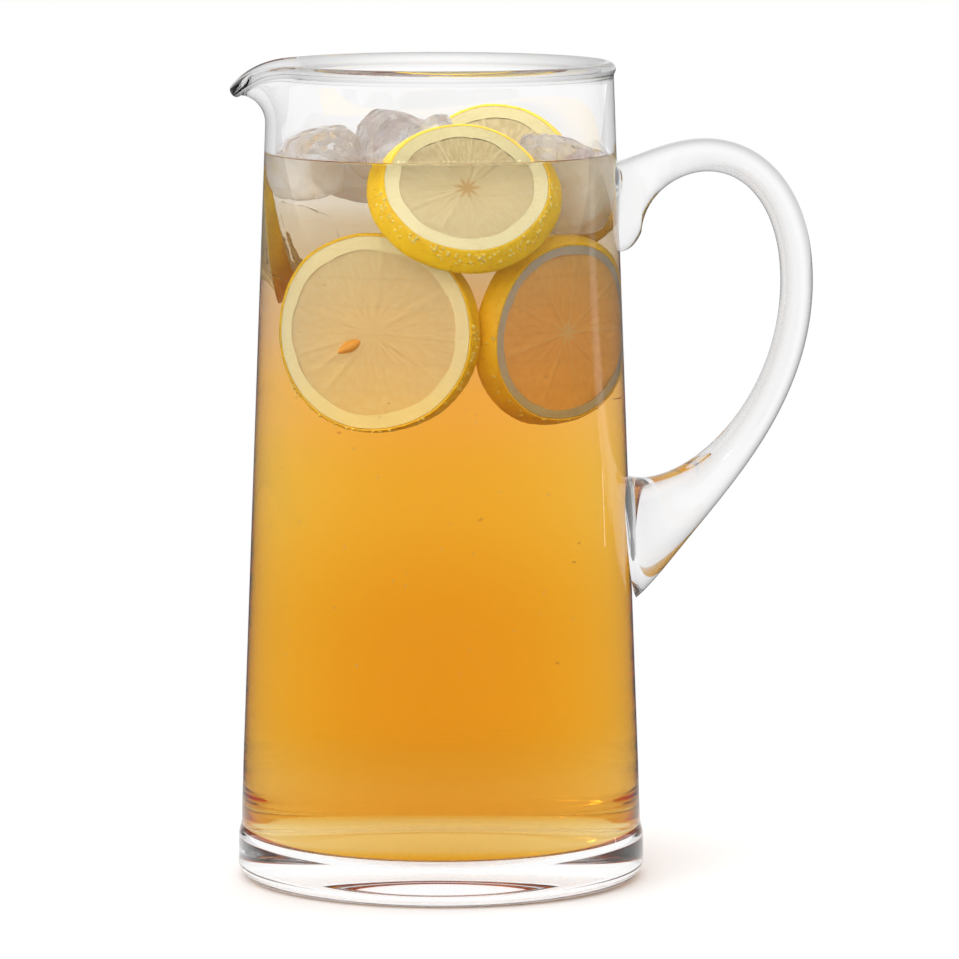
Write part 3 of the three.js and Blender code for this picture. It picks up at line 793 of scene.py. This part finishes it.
def handle_rings():
    """Rings of the handle, fuller on the outer side; the first and the last lie in the side of the body."""
    handle = bpy.context.scene.pitcher_handle
    outer_from = leaves_wall(OUTER, 0.0, 0.5)
    outer_to = leaves_wall(OUTER, 2.0, 1.5)
    inner_to = leaves_wall(INNER, 2.0, 1.5)
    end_power = 6
    # Reaches along the rod, in the shares that run from 0 at the root to 2 at the foot
    fused_root, fused_foot = 0.14, 0.2
    flat_reach = 0.7
    egg_root, egg_foot = 0.5, 0.6
    tail_reach, tail_slim = 0.16, 0.65
    oval = 2.1
    rings = []
    for step in range(HANDLE_RINGS + 1):
        from_root = 2 * step / HANDLE_RINGS
        from_foot = 2 - from_root
        near_root = fading(from_root, 1.0) ** end_power
        near_foot = fading(from_foot, 1.0) ** end_power
        outer = rod_at(from_root + outer_from * near_root - (2 - outer_to) * near_foot)[OUTER]
        inner = inner_edge(from_root, (2 - inner_to) * near_foot)
        breadth = rod_at(from_root)[BREADTH]
        fused = max(fading(from_root, fused_root), fading(from_foot, fused_foot)) ** 2
        slim = tail_slim * fading(from_root, tail_reach)
        middle = (outer + inner) / 2
        half = (outer - inner) / 2
        power = oval + (handle.flat_root - oval) * fading(from_root, flat_reach) ** 2
        power += (handle.flat_foot - oval) * fading(from_foot, flat_reach) ** 2
        egg = handle.egg * eased(from_root / egg_root) * eased(from_foot / egg_foot)
        ring = []
        for side in range(HANDLE_SIDES):
            turn = math.tau * side / HANDLE_SIDES
            along = squared(math.cos(turn), power)
            across = squared(math.sin(turn), power)
            x = middle.x + half.x * along
            z = middle.y + half.y * along
            lower = (1 - along) / 2
            y = breadth / 2 * across * (1 + egg * along) * (1 - slim * lower)
            radius = outer_radius(z)
            x -= fused * (radius - math.sqrt(radius * radius - y * y))
            ring.append(Vector((x, y, z)))
        rings.append(ring)
    return rings


def inner_edge(share, drawn_back):
    """Inner edge of the loop; at the root it runs down the tail to its tip on the side of the body."""
    handle = bpy.context.scene.pitcher_handle
    tail_share, rod_share = 0.1, 0.24
    tail_curl = 2.6 * MM
    if share >= rod_share:
        return rod_at(share - drawn_back)[INNER]
    if share >= tail_share:
        return rod_at(rod_share * (share - tail_share) / (rod_share - tail_share))[INNER]
    top = bpy.context.scene.pitcher_glass.rim_height - handle.root_drop
    tip_height = top - handle.tail_length
    tip = Vector((outer_radius(tip_height) - handle.sunk, tip_height))
    join = rod_at(0.0)[INNER]
    bend = Vector((join.x - tail_curl, tip.y))
    return bezier((tip, bend, join), share / tail_share)[0]


class PITCHER_OT_glass_handle(Operator):
    """Draws the handle from its root, with its folded tail, over the grip to its foot"""

    bl_idname = "pitcher.glass_handle"
    bl_label = "Glass handle"

    def execute(self, context):
        bm = bmesh.new()
        tube_into(bm, handle_rings())
        mesh = mesh_from(bm, "pitcher_handle")
        # The grey shading along the handle's edges is painted shade
        painted_shade = context.scene.pitcher_handle.painted_edge_shade
        thick = glass_finish("handle_glass", painted_shade, falloff=1.0, inner=1.0, wavy=0.015)
        finished("pitcher_handle", mesh, [thick], ["glass_handle"])
        return {"FINISHED"}


# Drink


def tea_colour(height):
    """What white light keeps over a full crossing of the pitcher at a height."""
    drink = bpy.context.scene.pitcher_drink
    # Heights as shares of the drink's depth, from the inside floor to the level; the paler colour at the
    # bottom paints light that comes up through the base
    stops = (
        (0.0, drink.bottom),
        (0.015, drink.bottom),
        (0.06, drink.low),
        (0.17, drink.deep),
        (0.29, drink.deep),
        (0.52, drink.middle),
        (0.63, drink.amber),
        (0.75, drink.fruit),
        (0.87, drink.melt),
        (0.94, drink.top),
        (1.0, drink.top),
    )
    floor = bpy.context.scene.pitcher_glass.base_thickness
    full = min(1.0, max(0.0, (height - floor) / (drink.level - floor)))
    for (low, first), (high, second) in zip(stops, stops[1:]):
        if full <= high:
            share = eased((full - low) / (high - low))
            return [math.exp(lerp(math.log(a), math.log(b), share)) for a, b in zip(first, second)]
    return list(drink.top)


def open_surface(reach, still):
    """The open surface from the glass, which the drink climbs a little, to the axis."""
    drink = bpy.context.scene.pitcher_drink
    curl = 7 * MM
    curl_steps, flat_steps = 12, 9
    points = []
    for step in range(curl_steps + 1):
        share = step / curl_steps
        points.append((reach - curl * share**1.6, still + drink.meniscus * (1 - share) ** 2.6))
    flat = points[-1][0]
    for step in range(1, flat_steps + 1):
        points.append((flat * (1 - step / flat_steps), still))
    return points


def level_line(height, drop, gap):
    """Points from the axis to the side of the drink at a height, let down by a drop."""
    reach = inner_radius(height) - gap
    return [(reach * share, height - drop) for share in (0.0, 0.5, 1.0)]


class PITCHER_OT_drink(Operator):
    """Fills the glass with layers of tea, paler where the ice has melted"""

    bl_idname = "pitcher.drink"
    bl_label = "Drink"

    def execute(self, context):
        drink = context.scene.pitcher_drink
        glass = context.scene.pitcher_glass
        gap = 0.1 * MM
        seam = 0.04 * MM
        thinnest = 1 * MM
        floor = glass.base_thickness + gap
        path = 2 * inner_radius(drink.level / 2)
        still = drink.level - drink.meniscus
        open_top = open_surface(inner_radius(drink.level) - gap, still)
        first_top = floor + glass.dome + thinnest
        steps = drink.layers - 2
        tops = [lerp(first_top, still - thinnest, step / steps) for step in range(steps + 1)] + [still]
        bm = bmesh.new()
        materials = []
        for index, (bottom, top) in enumerate(zip([floor] + tops, tops)):
            kept = tea_colour((bottom + top) / 2)
            materials.append(tea_finish(f"tea_{index + 1:02d}", kept, path))
            profile = level_line(bottom, 0.0, gap) if index else inside_line(top - seam, gap)
            if top == still:
                profile += [(radius, height - seam) for radius, height in open_top]
            else:
                profile += level_line(top, seam, gap)[::-1]
            lathe_into(bm, profile, DRINK_STEPS, [index] * len(profile))
        lathe_into(bm, open_top, DRINK_STEPS, [drink.layers] * len(open_top))
        materials.append(tea_surface_finish())
        mesh = mesh_from(bm, "pitcher_drink")
        finished("pitcher_drink", mesh, materials, ["drink"])
        return {"FINISHED"}


# Lemon


def slice_frame(name):
    """Place of a slice, its axis towards the outside, and its radius at the inner and the outer face."""
    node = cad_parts[f"{name}_peel"]
    points = np.array([vertex.co for vertex in node.data.vertices], float)
    centre = (points.min(0) + points.max(0)) / 2
    rounds = 3
    for _ in range(rounds):
        axes = np.linalg.svd(points - centre, full_matrices=False)[2]
        normal = axes[2]
        if normal @ np.array([centre[0], centre[1], 0.0]) < 0:
            normal = -normal
        along = (points - centre) @ normal
        middle = (along.min() + along.max()) / 2
        centre = centre + normal * middle
    along = (points - centre) @ normal
    away = np.linalg.norm(points - centre - np.outer(along, normal), axis=1)
    half = along.max()
    near_face = 0.9 * half
    inner_face = away[along < -near_face].max()
    outer_face = away[along > near_face].max()
    axis = Vector(normal)
    side = Vector((0, 0, 1)).cross(axis).normalized()
    up = axis.cross(side)
    matrix = Matrix((side, up, axis)).transposed().to_4x4()
    matrix.translation = Vector(centre)
    return matrix, half, inner_face, outer_face


def scallop(turn, wobble):
    """How far the segments push into the pith: 1 in the middle of a segment, 0 at a membrane."""
    phase = segment_phase(turn, wobble)
    inside = abs(phase - round(phase)) * 2
    return 1 - (1 - inside) ** 2.5


def slice_radius(shape, along, turn, inset):
    """Radius of a slice at a distance along its axis and a direction, moved inwards."""
    half, inner_face, outer_face, wobble = shape
    share = (along / half + 1) / 2
    plain = lerp(inner_face, outer_face, share)
    belly = 0.25 * MM * (1 - (along / half) ** 2)
    oval = 0.35 * MM * (0.5 + 0.5 * math.sin(2 * turn + wobble))
    lumps = 0.15 * MM * math.sin(5 * turn + 3 * wobble)
    return plain + belly - abs(oval + lumps) - inset


def ring_piece(shape, outside, inside, steps, pores):
    """A closed ring of a slice between two insets, which may depend on the direction."""
    half, _, _, wobble = shape
    round_off = 0.25 * MM
    pore_scale, pore_edge = 900, 0.35
    wave, wave_scale, wave_swing = 0.12 * MM, 420, 2.4
    across = (0.3, 0.65, 1.0)
    outline = [(0.0, half * share) for share in np.linspace(-1, 1, 11)]
    outline[0] = (round_off, -half)
    outline[-1] = (round_off, half)
    bm = bmesh.new()
    rows = []
    for step in range(steps):
        turn = math.tau * step / steps
        column = []
        deep = inside(turn)
        for tucked, along in outline:
            radius = slice_radius(shape, along, turn, outside) - tucked
            point = polar(radius, turn, along)
            if pores:
                dent = noise.noise(point * pore_scale + Vector((wobble, 0, 0)))
                point = polar(radius + pores * min(0.0, dent - pore_edge), turn, along)
            column.append(point)
        for level in (half, -half):
            outer = slice_radius(shape, level, turn, outside) - round_off
            inner = slice_radius(shape, level, turn, deep)
            for share in across if level > 0 else across[::-1]:
                point = polar(lerp(outer, inner, share), turn, level)
                swell = (0.5 + noise.noise(point * wave_scale)) * math.sin(share * wave_swing)
                point.z += math.copysign(wave, -level) * swell
                column.append(point)
        rows.append([bm.verts.new(point) for point in column])
    count = len(rows[0])
    for index in range(steps):
        here, there = rows[index], rows[(index + 1) % steps]
        for place in range(count):
            after = (place + 1) % count
            bm.faces.new((here[place], there[place], there[after], here[after]))
    return bm


def flesh_piece(shape, edge):
    """The flesh of a slice: both faces have sunken cells, raised membranes and a puckered heart."""
    half, _, _, wobble = shape
    segment_turn = math.tau / bpy.context.scene.pitcher_lemon.segments
    membrane_reach = 1.2 * MM
    heart_radius, heart_fade = 2 * MM, 4 * MM
    cell_depth, cell_relief = 0.25 * MM, 0.22 * MM
    cells_round, cells_out, cells_apart = 8, 260, 900
    edge_drop, edge_power = 0.1 * MM, 12
    heart_level = 0.94
    ring_spread = 0.85
    steps = FLESH_STEPS
    bm = bmesh.new()
    rows = []
    shares = [(index / FLESH_RINGS) ** ring_spread for index in range(1, FLESH_RINGS + 1)]
    for level in (half, -half):
        for share in shares if level > 0 else shares[::-1]:
            row = []
            for step in range(steps):
                turn = math.tau * step / steps
                radius = slice_radius(shape, level, turn, edge(turn)) * share
                phase = segment_phase(turn, wobble)
                aside = abs(phase - round(phase)) * segment_turn * radius
                dip = eased(aside / membrane_reach) * eased((radius - heart_radius) / heart_fade)
                spot = Vector((turn * cells_round, radius * cells_out, wobble + level * cells_apart))
                inward = dip * (cell_depth + cell_relief * noise.noise(spot)) + edge_drop * share**edge_power
                row.append(bm.verts.new(polar(radius, turn, level - math.copysign(inward, level))))
            rows.append(row)
    for here, there in zip(rows, rows[1:]):
        for step in range(steps):
            after = (step + 1) % steps
            bm.faces.new((here[step], here[after], there[after], there[step]))
    for row, level in ((rows[0], half), (rows[-1], -half)):
        middle = bm.verts.new((0, 0, level * heart_level))
        for step in range(steps):
            bm.faces.new((row[step], row[(step + 1) % steps], middle))
    return bm


def seed_piece(name):
    """A pip: a flat egg drawn out to a point."""
    lemon = bpy.context.scene.pitcher_lemon
    flatness, pointed = 0.75, 0.45
    bm = bmesh.new()
    bmesh.ops.create_uvsphere(bm, u_segments=24, v_segments=16, radius=1)
    for vertex in bm.verts:
        slim = 1 - pointed * max(0.0, vertex.co.z) ** 1.5
        vertex.co.x *= lemon.seed_width / 2 * slim
        vertex.co.y *= lemon.seed_width / 2 * slim * flatness
        vertex.co.z *= lemon.seed_length / 2
    return mesh_from(bm, name)


class PITCHER_OT_lemon(Operator):
    """Cuts the lemon slices: peel, pith and flesh, in the places of the CAD slices"""

    bl_idname = "pitcher.lemon"
    bl_label = "Lemon slices"

    def execute(self, context):
        lemon = context.scene.pitcher_lemon
        skin = skin_finish()
        white = pith_finish("lemon_pith", lemon.white, lemon.white_dark)
        shaded_white_above = pith_finish("lemon_pith_shaded_above", lemon.shaded_white_above, lemon.shaded_white_dark_above)
        shaded_white_right = pith_finish("lemon_pith_shaded_right", lemon.shaded_white_right, lemon.shaded_white_dark_right)
        overlap = 0.05 * MM
        border_wave, border_inset = 0.4 * MM, 0.2 * MM
        browned = {"lemon_top": lemon.star}
        plain_clear = 0.35
        clearer = {"lemon_right": 0.45, "lemon_left": 0.55}
        first_wobble, wobble_step = 0.4, 1.7
        for index, name in enumerate(SLICE_NAMES):
            matrix, half, inner_face, outer_face = slice_frame(name)
            wobble = wobble_step * index + first_wobble
            # The right slice gets a thinner pith and colours with painted shade; its pulp is also tea-stained
            soaked = name == "lemon_right"
            shape = (half, inner_face, outer_face, wobble)
            thick = lemon.pith * (lemon.thin_pith if soaked else 1.0)

            def flesh_edge(turn, wobble=wobble, thick=thick):
                return lemon.peel + thick - border_wave * scallop(turn, wobble) + border_inset

            peel = ring_piece(shape, 0.0, lambda turn: lemon.peel, PEEL_STEPS, lemon.pores)
            mesh = mesh_from(peel, f"{name}_skin")
            finished(f"{name}_skin", mesh, [skin], [f"{name}_peel"], matrix)
            pith = ring_piece(shape, lemon.peel - overlap, flesh_edge, FLESH_STEPS, 0.0)
            mesh = mesh_from(pith, f"{name}_white")
            # Over the surface the pith takes its darker colours, which are painted shade
            whites = [shaded_white_right if soaked else white, shaded_white_above]
            piece = finished(f"{name}_white", mesh, whites, [f"{name}_pith"], matrix)
            part_at_surface(piece)
            flesh = flesh_piece(shape, lambda turn: flesh_edge(turn) - overlap)
            mesh = mesh_from(flesh, f"{name}_pulp")
            centre = browned.get(name, lemon.white)
            wet_tones = (lemon.stained_shaded_pulp_right, lemon.stained_shaded_cells_right) if soaked else (lemon.pulp, lemon.pulp_dark)
            shaded_tones_above = (lemon.shaded_pulp_above, lemon.shaded_cells_above)
            clear = clearer.get(name, plain_clear)
            wet = flesh_finish(f"lemon_pulp_{index + 1}", wobble, clear, *wet_tones, centre)
            # Over the surface the flesh takes its darker colours, which are painted shade
            dry = flesh_finish(f"lemon_pulp_shaded_above_{index + 1}", wobble, plain_clear, *shaded_tones_above, centre)
            piece = finished(f"{name}_pulp", mesh, [wet, dry], [f"{name}_flesh"], matrix)
            part_at_surface(piece)
        matrix, half, _, _ = slice_frame("lemon_front")
        seed_sunk, seed_turn, seed_lean = 0.6 * MM, math.radians(-150), math.radians(78)
        seed_place = Matrix.Translation((-6.5 * MM, -4.5 * MM, half - seed_sunk))
        lean = Matrix.Rotation(seed_turn, 4, "Z") @ Matrix.Rotation(seed_lean, 4, "Y")
        mesh = seed_piece("lemon_front_seed")
        place = matrix @ seed_place @ lean
        finished("lemon_front_seed", mesh, [seed_finish()], (), place)
        return {"FINISHED"}


# Ice and bubbles


def melted(node, depth, seed):
    """A smooth, dented copy of an ice block's mesh."""
    source = bpy.data.objects.new("melting", node.data.copy())
    bpy.context.scene.collection.objects.link(source)
    voxels = source.modifiers.new("voxels", "REMESH")
    voxels.mode = "VOXEL"
    voxels.voxel_size = 0.9 * MM
    smooth = source.modifiers.new("smooth", "SMOOTH")
    smooth.factor = 0.5
    smooth.iterations = 6
    graph = bpy.context.evaluated_depsgraph_get()
    mesh = bpy.data.meshes.new_from_object(source.evaluated_get(graph))
    bpy.data.objects.remove(source)
    mesh.materials.clear()
    broad_scale, fine_scale = 75, 240
    broad_share, fine_share, shrink_share = 1.1, 0.6, 0.8
    moves = []
    for vertex in mesh.vertices:
        broad = noise.noise(vertex.co * broad_scale + Vector((seed, 0, 0)))
        fine = noise.noise(vertex.co * fine_scale + Vector((0, seed, 0)))
        moves.append(vertex.normal * depth * (broad_share * broad + fine_share * fine - shrink_share))
    for vertex, move in zip(mesh.vertices, moves):
        vertex.co += move
    mesh.update()
    return mesh


class PITCHER_OT_ice(Operator):
    """Melts the ice blocks into rounded lumps, clear over the surface and nearly unseen under it"""

    bl_idname = "pitcher.ice"
    bl_label = "Ice"

    def execute(self, context):
        ice = context.scene.pitcher_ice
        dry = ice_finish("ice_dry", ice.milky, ior=ICE_INDEX, clear=0.86, crackle=1.2)
        cloudy = ice_finish("ice_cloudy", ice.soaked, ior=1.015, clear=0.68, crackle=0.3)
        clear = ice_finish("ice_clear", ice.glassy, ior=1.012, clear=1.0, crackle=0.3)
        seed_step = 3.1
        for index, name in enumerate(ICE_NAMES):
            mesh = melted(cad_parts[name], ice.melt, seed_step * index)
            wet = clear if name == "ice_sunk" else cloudy
            part_at_surface(finished(f"{name}_lump", mesh, [wet, dry], [name]))
        return {"FINISHED"}


def bead_into(bm, place, radius):
    bead = bmesh.ops.create_icosphere(bm, subdivisions=2, radius=radius)
    bmesh.ops.translate(bm, verts=bead["verts"], vec=place)


class PITCHER_OT_bubbles(Operator):
    """Sets bubbles along the rims of the slices and loose ones in the drink"""

    bl_idname = "pitcher.bubbles"
    bl_label = "Bubbles"

    def execute(self, context):
        drink = context.scene.pitcher_drink
        ice = context.scene.pitcher_ice
        draw = random.Random(11)
        # The loose bubbles' pale dull share paints the silvery reflection of a bubble in water, and the
        # beads' golden colour paints the peel seen through them
        bead = bubble_finish("bead", (1.0, 0.84, 0.30), (1.0, 0.71, 0.11), ior=1.06, clear=0.1)
        film = bubble_finish("bubble", (1.0, 0.98, 0.88), (1.0, 0.93, 0.74), ior=1.4, clear=0.85)
        bead_sunk = 0.2 * MM
        bead_top = drink.level - 2 * MM
        bm = bmesh.new()
        for name, count in (("lemon_front", 130), ("lemon_top", 140), ("lemon_right", 50)):
            matrix, half, inner_face, outer_face = slice_frame(name)
            for _ in range(count):
                turn = draw.uniform(-math.pi, 0.1)
                size = draw.uniform(0.2, 0.62) * MM
                along = draw.uniform(-0.2, 1.0) * half
                reach = lerp(inner_face, outer_face, (along / half + 1) / 2) - bead_sunk
                place = matrix @ polar(reach, turn, along)
                clears_glass = math.hypot(place.x, place.y) < inner_radius(place.z) - size
                if clears_glass and place.z < bead_top:
                    bead_into(bm, place, size)
        finished("bubbles_on_fruit", mesh_from(bm, "bubbles_on_fruit"), [bead])
        lowest, highest = 20 * MM, drink.level - 4 * MM
        glass_gap = 0.6 * MM
        bm = bmesh.new()
        for _ in range(ice.bubbles):
            turn = draw.uniform(0, math.tau)
            height = lerp(lowest, highest, draw.random() ** 0.7)
            size = draw.uniform(0.12, 0.34) * MM
            reach = (inner_radius(height) - glass_gap) * math.sqrt(draw.uniform(0.55, 0.97))
            bead_into(bm, polar(reach, turn, height), size)
        finished("bubbles_in_drink", mesh_from(bm, "bubbles_in_drink"), [film])
        return {"FINISHED"}


# Stage


def soft_light(tree, heading, towards, strength):
    """Light that is strongest in one direction and fades to nothing at right angles to it."""
    sockets = {0: heading, 1: towards.normalized()}
    facing = add_node(tree, "ShaderNodeVectorMath", sockets, operation="DOT_PRODUCT").outputs["Value"]
    return ranged(tree, facing, 0.0, 1.0, 0.0, strength)


def build_world(stage):
    """White where the camera, glass or gloss looks straight at it, and soft studio light on the object."""
    world = bpy.data.worlds.new("studio")
    bpy.context.scene.world = world
    world.use_nodes = True
    tree = world.node_tree
    path = add_node(tree, "ShaderNodeLightPath").outputs
    heading = add_node(tree, "ShaderNodeTexCoord").outputs["Generated"]
    axes = add_node(tree, "ShaderNodeSeparateXYZ", {0: heading}).outputs
    key = soft_light(tree, heading, Vector((-0.66, -0.71, 0.24)), stage.key_light)
    back = soft_light(tree, heading, Vector((0.60, 0.75, 0.28)), stage.back_light)
    overhead = ranged(tree, axes[2], 0.0, 0.7, stage.side_light, stage.top_light)
    studio = maths(tree, "ADD", maths(tree, "ADD", key, back), overhead)
    front_gloss, gloss_slope = 0.42, 0.38
    aside = maths(tree, "MULTIPLY_ADD", axes[1], gloss_slope, front_gloss)
    glossy = maths(tree, "MAXIMUM", aside, ranged(tree, axes[1], -0.3, 0.4))
    straight, fresh = straight_look(tree, path)
    shown = maths(tree, "MAXIMUM", straight, maths(tree, "MULTIPLY", path["Is Glossy Ray"], glossy))
    seen = maths(tree, "MULTIPLY", maths(tree, "MAXIMUM", straight, path["Is Glossy Ray"]), fresh)
    level = add_node(tree, "ShaderNodeMix", {0: seen, 2: studio, 3: shown}, data_type="FLOAT").outputs[0]
    set_socket(tree, tree.nodes["Background"], "Color", opaque(WHITE))
    set_socket(tree, tree.nodes["Background"], "Strength", level)


def add_lamp(name, place, wide, high, glow):
    """A flat lamp that looks at the pitcher's middle and shines as brightly as the glow says."""
    lamp = bpy.data.lights.new(name, "AREA")
    lamp.shape = "RECTANGLE"
    lamp.size = wide
    lamp.size_y = high
    lamp.energy = glow * math.pi * wide * high
    piece = bpy.data.objects.new(name, lamp)
    bpy.context.scene.collection.objects.link(piece)
    piece.location = place
    aim = Vector((0, 0, place.z))
    piece.rotation_euler = (place - aim).to_track_quat("Z", "Y").to_euler()


def build_camera(stage):
    camera = bpy.data.objects.new("camera", bpy.data.cameras.new("camera"))
    bpy.context.scene.collection.objects.link(camera)
    back = Vector((0, -math.cos(stage.elevation), math.sin(stage.elevation)))
    aim = Vector((stage.aim_side, 0, stage.aim_height))
    camera.location = aim + back * stage.distance
    camera.rotation_euler = back.to_track_quat("Z", "Y").to_euler()
    camera.data.sensor_width = 36.0
    camera.data.lens = camera.data.sensor_width * stage.distance / stage.field
    camera.data.clip_start = 0.05
    camera.data.clip_end = 50.0
    bpy.context.scene.camera = camera


class PITCHER_OT_stage(Operator):
    """Sets up the floor, the light and the camera"""

    bl_idname = "pitcher.stage"
    bl_label = "Stage"

    def execute(self, context):
        stage = context.scene.pitcher_stage
        bm = bmesh.new()
        floor_radius, floor_drop = 6.0, 0.15 * MM
        bmesh.ops.create_circle(bm, cap_ends=True, segments=96, radius=floor_radius)
        bmesh.ops.translate(bm, verts=bm.verts, vec=(0, 0, -floor_drop))
        floor = bpy.data.objects.new("floor", mesh_from(bm, "floor"))
        context.scene.collection.objects.link(floor)
        floor.data.materials.append(floor_finish())
        build_world(stage)
        add_lamp("strip_lamp", Vector((0.90, 0.44, 0.06)), wide=20 * MM, high=85 * MM, glow=2.5)
        add_lamp("small_lamp", Vector((-0.60, -0.85, 0.75)), wide=60 * MM, high=60 * MM, glow=90.0)
        build_camera(stage)
        context.scene.view_settings.view_transform = "Standard"
        # A look down through the tea crosses two boundaries in each of its layers
        through_tea, plain = 160, 16
        cycles = context.scene.cycles
        cycles.max_bounces = through_tea
        cycles.transmission_bounces = through_tea
        cycles.glossy_bounces = plain
        cycles.transparent_max_bounces = plain
        return {"FINISHED"}


class PITCHER_PT_sidebar(Panel):
    """Sizes, colours and steps of the pitcher"""

    bl_idname = "PITCHER_PT_sidebar"
    bl_label = "Pitcher of iced lemon tea"
    bl_space_type = "VIEW_3D"
    bl_region_type = "UI"
    bl_category = "Pitcher"

    def draw(self, context):
        for operator in OPERATORS:
            self.layout.operator(operator.bl_idname)
        for group, name in GROUPS:
            box = self.layout.box()
            box.label(text=group.__doc__)
            settings = getattr(context.scene, name)
            for key in group.__annotations__:
                box.prop(settings, key)


GROUPS = (
    (PitcherGlass, "pitcher_glass"),
    (PitcherHandle, "pitcher_handle"),
    (PitcherDrink, "pitcher_drink"),
    (PitcherLemon, "pitcher_lemon"),
    (PitcherIce, "pitcher_ice"),
    (PitcherStage, "pitcher_stage"),
)
OPERATORS = (
    PITCHER_OT_glass_body,
    PITCHER_OT_glass_handle,
    PITCHER_OT_drink,
    PITCHER_OT_lemon,
    PITCHER_OT_ice,
    PITCHER_OT_bubbles,
    PITCHER_OT_stage,
)


def register():
    for group, name in GROUPS:
        bpy.utils.register_class(group)
        setattr(bpy.types.Scene, name, PointerProperty(type=group))
    for operator in OPERATORS:
        bpy.utils.register_class(operator)
    bpy.utils.register_class(PITCHER_PT_sidebar)


def unregister():
    bpy.utils.unregister_class(PITCHER_PT_sidebar)
    for operator in reversed(OPERATORS):
        bpy.utils.unregister_class(operator)
    for group, name in reversed(GROUPS):
        delattr(bpy.types.Scene, name)
        bpy.utils.unregister_class(group)


def main():
    register()
    bpy.ops.pitcher.glass_body()
    bpy.ops.pitcher.glass_handle()
    bpy.ops.pitcher.drink()
    bpy.ops.pitcher.lemon()
    bpy.ops.pitcher.ice()
    bpy.ops.pitcher.bubbles()
    bpy.ops.pitcher.stage()


if __name__ == "__main__":
    main()
